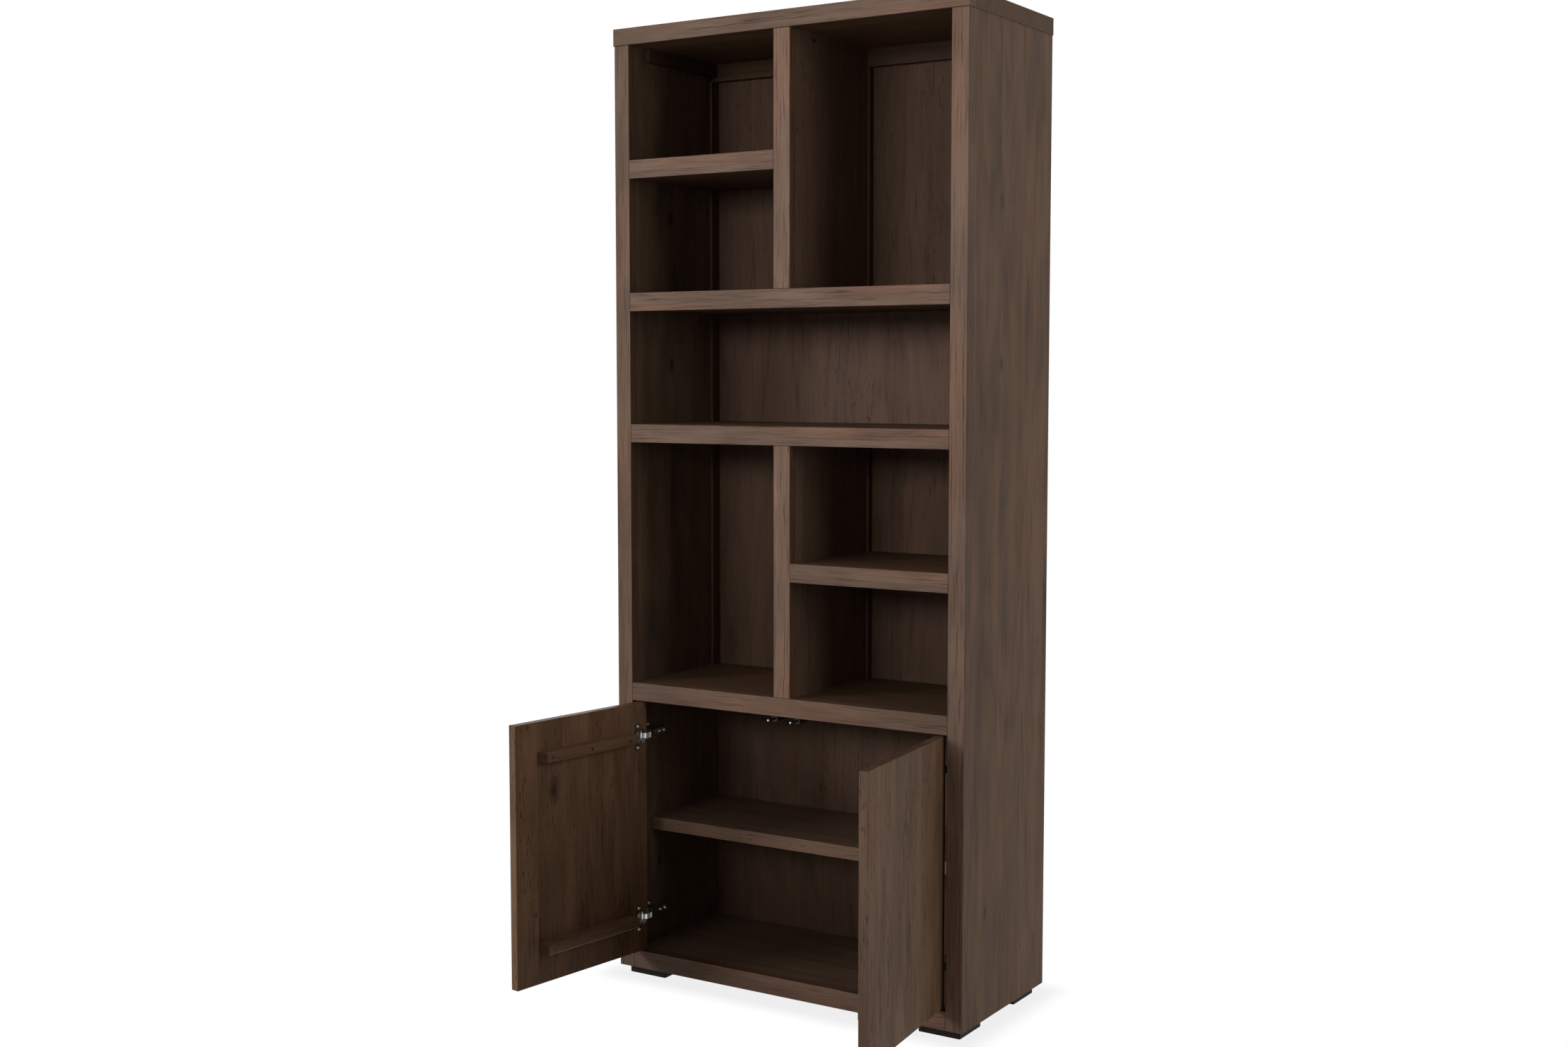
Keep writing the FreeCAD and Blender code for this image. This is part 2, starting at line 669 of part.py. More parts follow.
def cup_pin(label, side, z):
    """Upright pin through the cup's wall and the link."""
    return rod(label, "pivot_radius", "cup_pin_length", from_stile(side, "cup_pivot_in"),
               "cup_pivot_deep", f"{z} - cup_pin_length / 2")


# Door: one panel of glued boards, two battens across its inner face, a strike for the latch.
BATTEN_SCREWS = [f"(door_gap + batten_start + batten_screw_inset + {count} * batten_screw_pitch)"
                 for count in range(3)]
BATTEN_FACE = "(door_thick + batten_thick)"


def door_holes(side):
    """Holes in the inner face: the cups and every screw."""
    holes = []
    for which, z in HINGE_LEVELS.items():
        holes.append(rod(f"cup_seat_{side}_{which}", "cup_radius", "cup_depth", from_stile(side, CUP_CENTRE),
                         CUP_FLOOR, z, ALONG_Y))
        for share in PAIR_SHARES:
            holes.append(rod(f"cup_screw_seat_{side}_{which}_{share}", "screw_radius + fit_gap",
                             "cup_screw_length - flange_thick - screw_head_thick + fit_gap",
                             from_stile(side, CUP_SCREW_IN), "door_thick",
                             f"{z} + {share} * cup_screw_pitch", INTO_DOOR))
        for index, inwards in enumerate(BATTEN_SCREWS):
            holes.append(rod(f"batten_screw_seat_{side}_{which}_{index}", "screw_radius + fit_gap",
                             "batten_screw_length - batten_thick + fit_gap", from_stile(side, inwards),
                             "door_thick", f"{z} + batten_rise", INTO_DOOR))
    return holes


def batten(label, side, z_formula):
    """Cross batten: a stout bar, chamfered along both outer edges, bored for three screws."""
    z = number(f"{z_formula} + batten_rise")
    start = size("door_gap") + size("batten_start")
    end = start + size("batten_length")
    inner, outer = size("door_thick"), number(BATTEN_FACE)
    outline = [(start, inner), (start, outer), (end, outer), (end, inner)]
    solid = prism(outline, side, z, size("batten_height"))
    long_edges = [edge for edge in solid.Edges
                  if edge.BoundBox.YMin > inner + EDGE_FIND and edge.BoundBox.XLength > EDGE_FIND]
    solid = solid.makeChamfer(size("batten_chamfer"), long_edges)
    for inwards in BATTEN_SCREWS:
        top = FreeCAD.Vector(number(from_stile(side, inwards)), outer, z)
        hole, sink = size("screw_radius") + size("fit_gap"), size("screw_head_radius") + size("fit_gap")
        solid = solid.cut(Part.makeCylinder(hole, size("batten_thick"), top, INTO_DOOR_WAY))
        solid = solid.cut(Part.makeCylinder(sink, size("screw_head_thick"), top, INTO_DOOR_WAY))
    obj = doc.addObject("Part::Feature", label)
    obj.Shape = solid
    return obj


def batten_screws(label, side, z):
    """Three screws through a batten, their heads flush."""
    return group(f"{label}_set", [
        screw(f"{label}_{index}", from_stile(side, inwards), BATTEN_FACE, f"{z} + batten_rise",
              "batten_screw_length", INTO_DOOR)
        for index, inwards in enumerate(BATTEN_SCREWS)])


CASE_SETS = {
    "hinge_plates": plate,
    "hinge_arms": arm,
    "plate_screws": plate_screws,
    "arm_pins": arm_pin,
}
DOOR_SETS = {
    "hinge_cups": cup,
    "cup_pins": cup_pin,
    "cup_screws": cup_screws,
    "batten_screws": batten_screws,
}
for name, make in CASE_SETS.items():
    node(group(f"{name}_all", [both_hinges(f"{name}_{side}", side, make) for side in SIDES]), name)
for side in SIDES:
    node(swing(both_hinges(f"links_{side}", side, link), side, "link"), f"hinge_links_{side}")
    slab = box(f"door_{side}_slab", from_stile(side, "door_gap", DOOR_WIDTH), "0",
               f"{BOTTOM_TOP} + door_end_gap", DOOR_WIDTH, "door_thick", DOOR_HEIGHT)
    soft = rounded(f"door_{side}_soft", slab, size("arris"), lambda middle, way: True)
    node(swing(cut(f"door_{side}_cut", soft, door_holes(side)), side), f"door_{side}")
    for which, z in HINGE_LEVELS.items():
        bar = group(f"batten_{side}_{which}_bar", [batten(f"batten_{side}_{which}", side, z)])
        node(swing(bar, side), f"door_{side}_{which}_batten")
    for name, make in DOOR_SETS.items():
        node(swing(both_hinges(f"{name}_{side}_each", side, make), side), f"{name}_{side}")
    strike = rod(f"strike_{side}_disc", "strike_radius", "strike_thick", f"latch_{side}_place",
                 "door_thick", PLUNGER_LEVEL, ALONG_Y)
    node(swing(group(f"strike_{side}_only", [strike]), side), f"strike_{side}")

doc.recompute()
for obj in doc.Objects:
    if "Invalid" in obj.State or "Error" in obj.State:
        raise RuntimeError(f"{obj.Label} failed: {obj.State}")
for obj in nodes:
    if obj.Shape.isNull() or not obj.Shape.isValid():
        raise RuntimeError(f"{obj.Label} has no valid shape")
    if not obj.Shape.Solids:
        raise RuntimeError(f"{obj.Label} has no solid")

os.makedirs("parts", exist_ok=True)
for obj in nodes:
    obj.Shape.exportStep(f"parts/{obj.Label}.step")
print(len(nodes), "nodes,", sum(len(obj.Shape.Solids) for obj in nodes), "solids")
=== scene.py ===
"""Looks of a tall oak bookcase with two cabinet doors: stained wood, nickel hinges, a white studio."""
import math

import bpy
import numpy as np
from mathutils import Euler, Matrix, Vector


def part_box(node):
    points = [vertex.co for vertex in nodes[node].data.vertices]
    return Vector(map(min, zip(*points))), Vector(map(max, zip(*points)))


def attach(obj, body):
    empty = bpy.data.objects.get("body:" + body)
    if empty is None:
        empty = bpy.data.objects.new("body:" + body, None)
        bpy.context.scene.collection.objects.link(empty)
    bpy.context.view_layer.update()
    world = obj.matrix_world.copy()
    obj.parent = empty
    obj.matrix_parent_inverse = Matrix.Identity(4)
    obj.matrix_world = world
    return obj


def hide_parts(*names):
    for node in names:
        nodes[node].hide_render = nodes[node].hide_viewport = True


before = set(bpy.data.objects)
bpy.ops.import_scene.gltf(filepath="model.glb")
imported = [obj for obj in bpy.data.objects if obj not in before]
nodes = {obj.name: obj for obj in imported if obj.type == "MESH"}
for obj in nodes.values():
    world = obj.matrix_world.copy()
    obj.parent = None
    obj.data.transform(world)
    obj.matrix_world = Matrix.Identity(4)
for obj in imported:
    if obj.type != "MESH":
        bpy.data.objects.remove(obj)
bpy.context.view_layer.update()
side_low, side_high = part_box("side_right")
links_low, links_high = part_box("hinge_links_left")

# Camera of the photograph: metres and degrees in the part's own frame, millimetres of sensor and lens.
CAMERA_PLACE = (2.2071, -3.4868, 1.4057)
CAMERA_YAW = 32.257
CAMERA_PITCH = -4.486
SENSOR_WIDTH = 36.0
LENS = 43.368
VIEW_END = 60.0

# Softboxes: name, place, aim and size in metres, watts, spread in degrees. Ambient is the level of the
# even light from all round.
SOFTBOXES = (
    ("softbox_left", (-4.4, -5.4, 2.8), (0.0, 0.0, 1.1), (1.8, 1.8), 168.0, 180.0),
    ("softbox_front", (-0.2, -5.0, 2.3), (0.2, 0.0, 1.6), (2.6, 1.0), 6.8, 45.0),
    ("softbox_right", (4.6, -0.3, 2.2), (0.4, 0.2, 1.0), (3.2, 2.6), 77.0, 180.0),
    ("softbox_back", (-2.6, 4.2, 3.6), (0.0, 0.2, 1.2), (2.0, 2.0), 110.0, 180.0),
)
AMBIENT = 0.05

# The floor shows its own shadow near the case's footprint, and is white further away: metres, and the
# share of white at the footprint.
WHITE = (1.0, 1.0, 1.0, 1.0)
FLOOR_GREY = (0.38, 0.38, 0.38, 1.0)
FLOOR_SIZE = 40.0
FLOOR_ROUGHNESS = 0.9
FLOOR_SHINE = 0.1
HALF_WIDTH = side_high.x
HALF_DEPTH = side_high.y / 2
SHADOW_REACH = 0.075
SHADOW_SHARE = 0.84

# Doors as they stand in the photograph: degrees away from shut. The right side mirrors the left.
DOOR_OPEN = {"left": 98.0, "right": 96.0}
MIRROR = {"left": 1.0, "right": -1.0}
SIDES = ("left", "right")

# Boards that share a finish.
DIVIDERS = ("lower_divider", "upper_divider")
SHELVES = ("cabinet_top", "middle_shelf", "upper_shelf", "small_shelf_left", "small_shelf_right")

# Stained oak, linear colours: light between the grain's lines, dark in them.
LIP_LIGHT = (0.236, 0.149, 0.104)
LIP_DARK = (0.062, 0.034, 0.021)
# The dividers' lippings are lighter and the left stile's darker than the right stile's: painted light and
# painted shade.
DIVIDER_LIP_LIT = (0.272, 0.168, 0.115)
LEFT_LIP_SHADED = (0.204, 0.126, 0.087)
CASE_LIGHT = (0.134, 0.074, 0.041)
CASE_DARK = (0.056, 0.031, 0.017)
TOP_LIGHT = (0.154, 0.085, 0.047)
INNER_LIGHT = (0.100, 0.053, 0.030)
INNER_DARK = (0.045, 0.025, 0.016)
# The cleats are darker than the other inner boards: painted shade.
SHADED_CLEAT_LIGHT = (0.074, 0.046, 0.029)
SHADED_CLEAT_DARK = (0.034, 0.020, 0.013)
DIVIDER_LIGHT = (0.176, 0.107, 0.070)
DIVIDER_DARK = (0.055, 0.031, 0.020)
BACK_LIGHT = (0.134, 0.076, 0.050)
BACK_DARK = (0.049, 0.027, 0.018)
# The left door is lighter than the right: painted light on its face, which is turned away from the lamps.
DOOR_LIGHT = {"left": (0.204, 0.110, 0.060), "right": (0.148, 0.081, 0.046)}
DOOR_DARK = (0.052, 0.027, 0.015)
BATTEN_LIGHT = (0.196, 0.107, 0.060)

# Tints that multiply the wood's colour: in clouds of stain, on end grain, on inner faces as painted shade
# colour, and on edges, the lighter ones as painted highlights.
PLAIN = (1.0, 1.0, 1.0)
YELLOW_CLOUD = (1.05, 1.01, 0.87)
VIOLET_CLOUD = (0.95, 0.96, 0.99)
ROSE_CLOUD = (1.08, 0.98, 0.95)
END_GRAIN = (0.62, 0.60, 0.58)
# The sides' inner faces get a paler, greener tint: painted shade colour for the niches.
INNER_SHADE_TINT = (1.10, 1.25, 1.40)
LIPPING_RIM = (0.52, 0.48, 0.42)
# The loose shelf's, the doors' and the battens' lighter edges are painted highlights.
LOOSE_EDGE_HIGHLIGHT = (1.6, 1.6, 1.6)
DOOR_EDGE_HIGHLIGHT = (1.45, 1.60, 1.85)
BATTEN_EDGE_HIGHLIGHT = (1.1, 1.1, 1.1)

# Knots that the photograph shows, metres: place along and across the board, reach along and across.
SIDE_KNOTS = ((1.430, 0.162, 0.050, 0.020), (0.255, 0.104, 0.050, 0.020), (1.770, 0.160, 0.050, 0.020))
DOOR_KNOTS = {"left": ((0.493, 0.333, 0.060, 0.028),), "right": ()}

# Grain of the boards, metres: niches from shelf to shelf, ripples of the lippings, the band of the sides'
# inner faces that takes painted shade colour.
NICHE_PITCH = 0.2995
LIP_WAVE = 0.008
INNER_SHADE_DEPTH = 0.002

# Seeds that choose the leaves of the doors and their battens.
DOOR_SEED = {"left": 30.8, "right": 11.4}
BATTEN_SEED = {"left": 32.8, "right": 13.4}

# Hardware, linear colours.
# The hinges' nickel is darkened as painted shade for the dark it reflects; the links' satin nickel is
# brightened as a painted highlight.
SHADED_NICKEL = (0.36, 0.34, 0.31)
LIT_SATIN_NICKEL = (0.90, 0.88, 0.85)
ZINC = (0.60, 0.58, 0.55)
DARK_STEEL = (0.075, 0.048, 0.036)
LATCH_BLACK = (0.016, 0.013, 0.011)
STRIKE_BROWN = (0.036, 0.021, 0.014)
FOOT_BLACK = (0.017, 0.011, 0.009)
STEM_BLACK = (0.022, 0.019, 0.017)
TIP_PLATE = (0.42, 0.40, 0.36)

# A plunger's plated tip, metres: its length, the width of its edge and how far the edge wanders.
TIP_LENGTH = 0.005
TIP_EDGE = 0.0006
TIP_WANDER = 0.0004

# Hinges and screws, millimetres: in from a stile's inner face, back from the front plane, up; doors shut.
# The links reach half their width past the levels of the lower and the upper hinges.
MILLIMETRE = 0.001
INNER = side_low.x / MILLIMETRE
LINK_HALF_WIDTH = 6.0
LINK_HALF_THICK = 1.0
HINGE_LEVELS = (links_low.z / MILLIMETRE + LINK_HALF_WIDTH, links_high.z / MILLIMETRE - LINK_HALF_WIDTH)
ARM_PIVOT = (31.0, 25.5)
CUP_PIVOT = (12.7, 11.2)
LINK_KNEE = (28.2, 14.0)
LINK_HEEL = (23.1, 9.0)
LINK_BEND = 1.8
STRAP_START = 1.8
LINK_SHARE = 0.269
EYE_BORE = 1.65
EYE_RADIUS = 3.0

# A screw's profile: radius and height over its tip, then radius and depth under its face, then the face
# with its cross.
SHANK_RADIUS = 1.8
HEAD_RADIUS = 3.5
HEAD_THICK = 1.6
SCREW_TIP = ((0.2, 0.0), (1.6, 2.6), (SHANK_RADIUS, 3.4))
SCREW_HEAD = ((SHANK_RADIUS, HEAD_THICK), (3.3, HEAD_THICK), (HEAD_RADIUS, 1.45), (HEAD_RADIUS, 0.6),
              (3.42, 0.35), (3.2, 0.16), (2.8, 0.06))
FACE_RADII = np.linspace(2.5, 0.1, 9)
CROSS_REACH = 2.1
CROSS_END = 0.4
CROSS_HALF_WIDTH = 0.5
CROSS_WALL = 0.2
CROSS_DEPTH = 1.0

# Screws of one hinge: in, back, up from the hinge's level, and length.
PLATE_SCREWS = ((4.1, 57.0, -16.0, 19.6), (4.1, 57.0, 16.0, 19.6),
                (23.6, 75.0, 0.0, 12.0), (23.6, 93.0, 0.0, 12.0))
CUP_SCREWS = ((33.0, 22.8, -25.0, 15.0), (33.0, 22.8, 25.0, 15.0))
BATTEN_SCREWS = ((86.0, 50.0, 2.0, 42.0), (206.0, 50.0, 2.0, 42.0), (326.0, 50.0, 2.0, 42.0))

# Steps of the round forms, powers that square off their sections, and the angle of a sharp edge in degrees.
SCREW_SIDES = 40
STRAP_SIDES = 32
EYE_SIDES = 40
EYE_LOOP = 24
BEND_STEPS = 9
STRAP_POWERS = (0.18, 0.35)
EYE_POWERS = (0.3, 0.15)
SHARP_EDGE = 38.0


class NodeTree:
    """A tree of shader nodes, with short calls for the nodes that the finishes and the studio share."""

    def __init__(self, tree):
        self.tree = tree

    def put(self, socket, value):
        """Feed a socket: link another node's socket, or set a constant."""
        if isinstance(value, bpy.types.NodeSocket):
            self.tree.links.new(value, socket)
        elif value is not None:
            socket.default_value = value

    def node(self, kind, inputs=(), **settings):
        """A new node with its settings made and its sockets fed."""
        made = self.tree.nodes.new(kind)
        for key, value in settings.items():
            setattr(made, key, value)
        for key, value in dict(inputs).items():
            self.put(made.inputs[key], value)
        return made

    def math(self, operation, first, second=None, third=None):
        made = self.node("ShaderNodeMath", operation=operation)
        for socket, value in zip(made.inputs, (first, second, third)):
            self.put(socket, value)
        return made.outputs[0]

    def plus(self, first, second):
        return self.math("ADD", first, second)

    def minus(self, first, second):
        return self.math("SUBTRACT", first, second)

    def times(self, first, second):
        return self.math("MULTIPLY", first, second)

    def line(self, value, slope, base):
        """Slope times value, plus base."""
        return self.math("MULTIPLY_ADD", value, slope, base)

    def larger(self, first, second):
        return self.math("MAXIMUM", first, second)

    def length(self, first, second):
        """Root of the sum of two squares."""
        return self.math("SQRT", self.plus(self.times(first, first), self.times(second, second)))

    def vector(self, x, y, z):
        return self.node("ShaderNodeCombineXYZ", {"X": x, "Y": y, "Z": z}).outputs[0]

    def parts(self, vector):
        return self.node("ShaderNodeSeparateXYZ", {"Vector": vector}).outputs

    def channels(self, colour):
        return self.node("ShaderNodeSeparateColor", {"Color": colour}).outputs

    def noise(self, vector, scale, detail=2.0, roughness=0.5):
        return self.node("ShaderNodeTexNoise", {
            "Vector": vector, "Scale": scale, "Detail": detail, "Roughness": roughness}).outputs["Fac"]

    def step(self, value, low, high, to_low=0.0, to_high=1.0):
        """Smooth step from one level to another, as a value goes from low to high."""
        return self.node("ShaderNodeMapRange", {
            "Value": value, "From Min": low, "From Max": high, "To Min": to_low, "To Max": to_high},
            interpolation_type="SMOOTHSTEP").outputs[0]

    def mix(self, factor, first, second, blend="MIX"):
        """Two colours mixed, each a tuple or another node's socket."""
        made = self.node("ShaderNodeMix", data_type="RGBA", blend_type=blend)
        self.put(made.inputs["Factor"], factor)
        for key, value in (("A", first), ("B", second)):
            socket = next(plug for plug in made.inputs if plug.name == key and plug.type == "RGBA")
            self.put(socket, (*value, 1.0) if isinstance(value, tuple) else value)
        return next(plug for plug in made.outputs if plug.type == "RGBA")

    def tinted(self, colour, tint, factor):
        """A colour multiplied by a tint, as far as the factor says."""
        return self.mix(factor, colour, self.mix(1.0, colour, tint, "MULTIPLY"))

    def seen(self):
        """One for the rays that show a background: camera, glossy and transmission rays."""
        path = self.node("ShaderNodeLightPath").outputs
        return self.larger(path["Is Camera Ray"],
                           self.larger(path["Is Glossy Ray"], path["Is Transmission Ray"]))


class Shader(NodeTree):
    """One material's nodes: its surface, its output and its texture coordinates."""

    def __init__(self, name):
        self.material = bpy.data.materials.new(name)
        self.material.use_nodes = True
        super().__init__(self.material.node_tree)
        self.surface = self.tree.nodes["Principled BSDF"]
        self.output = self.tree.nodes["Material Output"]
        self.place = self.node("ShaderNodeTexCoord").outputs

    def bump(self, height, strength, distance):
        return self.node("ShaderNodeBump", {
            "Height": height, "Strength": strength, "Distance": distance}).outputs[0]

    def finish(self, inputs):
        """Feed the surface's sockets and give the material."""
        for key, value in inputs.items():
            self.put(self.surface.inputs[key], value)
        return self.material


class Oak(Shader):
    """Stained, brushed oak as a solid texture.

    axes names the grain's axis and the axis across the face, with the board turned back by turn degrees.
    Across the face the wood changes every leaf width, and the seed chooses the leaves.
    """

    # Leaves: metres across for one step of the seed, metres by which a leaf slides along its log, and the
    # middle part of a leaf where its pith lies, as shares of its width.
    SEED_SHIFT = 0.37
    SLIDE = 9.0
    PITH_SPAN = 0.9
    PITH_EDGE = 0.05

    # Knots: cells per metre across and along, reach and heart in cells, heart and level of a knot with a
    # given place, rings by which the grain bends, and how much darker it gets.
    KNOT_CELLS = (6.5, 2.3)
    KNOT_REACH = 0.30
    KNOT_HEART = (0.01, 0.085)
    MARK_HEART = (0.05, 0.50)
    MARK_LEVEL = 0.9
    KNOT_BEND = 1.5
    KNOT_STAIN = 0.45
    HEART_STAIN = 0.9
    HEART_SHADE = 0.30

    # Rings: metres, cells per metre along and across the grain, and the part of a ring that is early wood.
    RING = 0.0055
    SWAY = 0.010
    SWAY_CELLS = (3.0, 7.0)
    RIPPLE_CELLS = (20.0, 45.0)
    DRIFT_CELLS = (0.8, 1.0)
    PITH_DEPTH = 0.02
    PITH_DRIFT = 0.060
    EARLY_RISE = 0.15
    EARLY_END = 0.6

    # Brushed grain: cells per metre across and along, detail, roughness and shift of each noise, the levels
    # between which it sets in, and its share of the stain.
    STREAKS = (210.0, 8.0, 2.0, 0.55, 0.0)
    FIBRES = (480.0, 9.0, 4.0, 0.65, 3.0)
    BANDS = (24.0, 1.1, 3.0, 0.55, 7.0)
    PORES = (360.0, 40.0, 2.0, 0.5, 5.0)
    CLUSTERS = (18.0, 3.0, 2.0, 0.5, 9.0)
    STREAK_LEVELS = (0.48, 0.70)
    PORE_LEVELS = (0.58, 0.70)
    CLUSTER_LEVELS = (0.42, 0.62)
    LATE_STREAKS = 0.45
    LONE_PORES = 0.1
    FIBRE_SHARE = 0.75
    FIBRE_BASE = -0.42
    EARLY_SHARE = 0.12
    BAND_SHARE = 0.55

    # Clouds of stain: cells per metre across and along, detail, and how far they lighten, darken and tint.
    CLOUD_CELLS = (15.0, 3.6)
    CLOUD_DETAIL = 3.0
    CLOUD_SWING = 1.6
    HUE_CELLS = (13.0, 2.2)
    HUE_SHIFT = 4.0
    HUE_MIDDLE = 0.50
    HUE_SPAN = 0.12

    # Edges and ends: the parts of a face's normal along an axis at which its tint sets in and is full.
    TURNED_AWAY = (0.5, 0.85)

    # Surface: roughness without stain and added by it, shine, and the grain's relief in metres.
    ROUGHNESS = 0.50
    STAIN_ROUGHNESS = 0.20
    SHINE = 0.14
    PORE_DEPTH = -1.0
    LINE_DEPTH = -0.6
    RELIEF = 0.5
    RELIEF_DEPTH = 0.0004

    def __init__(self, name, axes, leaf, seed, turn):
        super().__init__(name)
        self.axes, self.seed = axes, seed
        self.rotation = (0.0, 0.0, math.radians(turn))
        third = next(axis for axis in "xyz" if axis not in axes)
        where = self.turned(self.place["Object"], "POINT")
        self.along, self.across, self.deep = (where[axis.upper()] for axis in (*axes, third))
        self.cut_leaves(leaf)

    def turned(self, vector, kind):
        """A vector's parts in the board's own directions."""
        inputs = {"Vector": vector, "Rotation": self.rotation}
        return self.parts(self.node("ShaderNodeMapping", inputs, vector_type=kind).outputs[0])

    def over(self, first, second, cells, shift=0.0):
        """Two lengths on the board, counted in cells, with the seed as third part of the vector."""
        return self.vector(self.times(first, cells[0]), self.times(second, cells[1]), self.seed + shift)

    def stretched(self, wide, long, detail, roughness, shift):
        """Noise that follows the waved grain, in cells per metre: wide across the grain, long along it."""
        where = self.vector(self.times(self.waved, wide), self.times(self.deep, wide),
                            self.line(self.run, long, self.seed + shift))
        return self.noise(where, 1.0, detail, roughness)

    def cut_leaves(self, leaf):
        """One random row for each leaf: its slide along the log, its pith's place and how light it is."""
        self.seeded = self.plus(self.across, self.SEED_SHIFT * self.seed)
        index = self.math("FLOOR", self.math("DIVIDE", self.seeded, leaf))
        row = self.plus(index, self.seed)
        chance = self.node("ShaderNodeTexWhiteNoise", {"W": row}, noise_dimensions="1D")
        self.draw = self.channels(chance.outputs["Color"])
        self.run = self.line(self.draw["Red"], self.SLIDE, self.along)
        pith = self.plus(index, self.line(self.draw["Green"], self.PITH_SPAN, self.PITH_EDGE))
        self.off = self.minus(self.seeded, self.times(pith, leaf))

    def grow_knots(self, knots, marks):
        """A few cells of a stretched mosaic hold a knot, and each mark is an ellipse that is one."""
        cells = self.node("ShaderNodeTexVoronoi", {
            "Vector": self.over(self.seeded, self.run, self.KNOT_CELLS), "Scale": 1.0}).outputs
        holds = self.math("LESS_THAN", self.channels(cells["Color"])["Red"], knots)
        self.near = self.times(self.step(cells["Distance"], 0.0, self.KNOT_REACH, 1.0, 0.0), holds)
        self.heart = self.times(self.step(cells["Distance"], *self.KNOT_HEART, 1.0, 0.0), holds)
        for far, aside, long, wide in marks:
            up = self.times(self.minus(self.along, far), 1.0 / long)
            beside = self.times(self.minus(self.across, aside), 1.0 / wide)
            apart = self.length(up, beside)
            self.near = self.larger(self.near, self.step(apart, 0.0, 1.0, 1.0, 0.0))
            self.heart = self.larger(self.heart, self.step(apart, *self.MARK_HEART, self.MARK_LEVEL, 0.0))

    def grow_rings(self, wave):
        """Growth rings: circles about a pith whose depth drifts along the grain, so faces show arches.

        A point's ring is its distance from the pith over the ring's width. The distance is the root of the
        sum of the squares of its offset and its depth. A slow sway and a fast ripple, wave metres strong,
        shift the grain sideways, and knots add to the count of rings. Early wood comes first in each ring.
        """
        sway = self.noise(self.over(self.run, self.off, self.SWAY_CELLS), 1.0)
        ripple = self.noise(self.over(self.run, self.seeded, self.RIPPLE_CELLS), 1.0)
        bend = self.line(self.minus(ripple, 0.5), wave, self.times(self.minus(sway, 0.5), self.SWAY))
        self.waved = self.plus(self.seeded, bend)
        drift = self.noise(self.over(self.run, self.draw["Blue"], self.DRIFT_CELLS), 1.0, 1.0)
        depth = self.line(drift, self.PITH_DRIFT, self.plus(self.deep, self.PITH_DEPTH))
        radius = self.length(self.plus(self.off, bend), depth)
        count = self.plus(self.math("DIVIDE", radius, self.RING), self.times(self.near, self.KNOT_BEND))
        phase = self.math("FRACT", count)
        self.early = self.times(self.step(phase, 0.0, self.EARLY_END, 1.0, 0.0),
                                self.step(phase, 0.0, self.EARLY_RISE))

    def brush(self, lines, dashes):
        """Stain: streaks, pores, fibres, early wood and bands, each times its share, kept between 0 and 1.

        Streaks are stronger in the early wood, and the dashes of open pores stand in clusters.
        """
        streaks = self.step(self.stretched(*self.STREAKS), *self.STREAK_LEVELS)
        self.lined = self.times(streaks, self.step(self.early, 0.0, 1.0, self.LATE_STREAKS, 1.0))
        pores = self.step(self.stretched(*self.PORES), *self.PORE_LEVELS)
        clusters = self.step(self.stretched(*self.CLUSTERS), *self.CLUSTER_LEVELS, self.LONE_PORES, 1.0)
        self.open = self.times(pores, clusters)
        stain = self.line(self.lined, lines, self.times(self.open, dashes))
        fibres = self.line(self.stretched(*self.FIBRES), self.FIBRE_SHARE, self.FIBRE_BASE)
        bands = self.times(self.stretched(*self.BANDS), self.BAND_SHARE)
        stain = self.plus(self.plus(stain, fibres), self.line(self.early, self.EARLY_SHARE, bands))
        self.stain = self.larger(self.math("MINIMUM", stain, 1.0), 0.0)

    def stained(self, light, dark, tone, clouds):
        """Light wood darkened by the stain, then multiplied by a level for its leaf and its patch.

        The level is one, plus tone times the leaf's draw less a half, plus the clouds' swing times the
        patch's noise less a half.
        """
        patch = self.noise(self.over(self.off, self.run, self.CLOUD_CELLS), 1.0, self.CLOUD_DETAIL)
        swing = self.CLOUD_SWING * clouds
        level = self.plus(self.line(self.draw["Blue"], tone, 1.0 - tone / 2),
                          self.line(patch, swing, -swing / 2))
        grey = self.vector(level, level, level)
        return self.mix(1.0, self.mix(self.stain, light, dark), grey, "MULTIPLY")

    def clouded(self, colour, hues, warm):
        """Clouds of two tints, warm where a slow noise is above its middle and violet where it is below."""
        hue = self.noise(self.over(self.off, self.run, self.HUE_CELLS, self.HUE_SHIFT), 1.0, 1.0)
        for span, tint in ((self.HUE_SPAN, warm), (-self.HUE_SPAN, VIOLET_CLOUD)):
            cloud = self.step(hue, self.HUE_MIDDLE, self.HUE_MIDDLE + span, 0.0, hues)
            colour = self.tinted(colour, tint, cloud)
        return colour

    def trimmed(self, colour, rim, inside):
        """Edges tinted by rim, as a painted highlight where rim is above one, and darker ends; nearer to
        the case's middle than inside, a paler, greener tint as painted shade colour.
        """
        facing = self.turned(self.place["Normal"], "NORMAL")
        for axis, tint in ((self.axes[1], rim), (self.axes[0], END_GRAIN)):
            away = self.step(self.math("ABSOLUTE", facing[axis.upper()]), *self.TURNED_AWAY)
            colour = self.tinted(colour, tint, away)
        if inside:
            # Painted shade colour on the sides' inner faces.
            inner_shade = self.step(self.math("ABSOLUTE", self.deep), inside, inside + INNER_SHADE_DEPTH, 1.0, 0.0)
            colour = self.tinted(colour, INNER_SHADE_TINT, inner_shade)
        return colour

    def knotted(self, colour, dark):
        """Dark wood near a knot, and a darker heart."""
        colour = self.mix(self.times(self.near, self.KNOT_STAIN), colour, dark)
        return self.mix(self.times(self.heart, self.HEART_STAIN), colour, shaded(dark, self.HEART_SHADE))

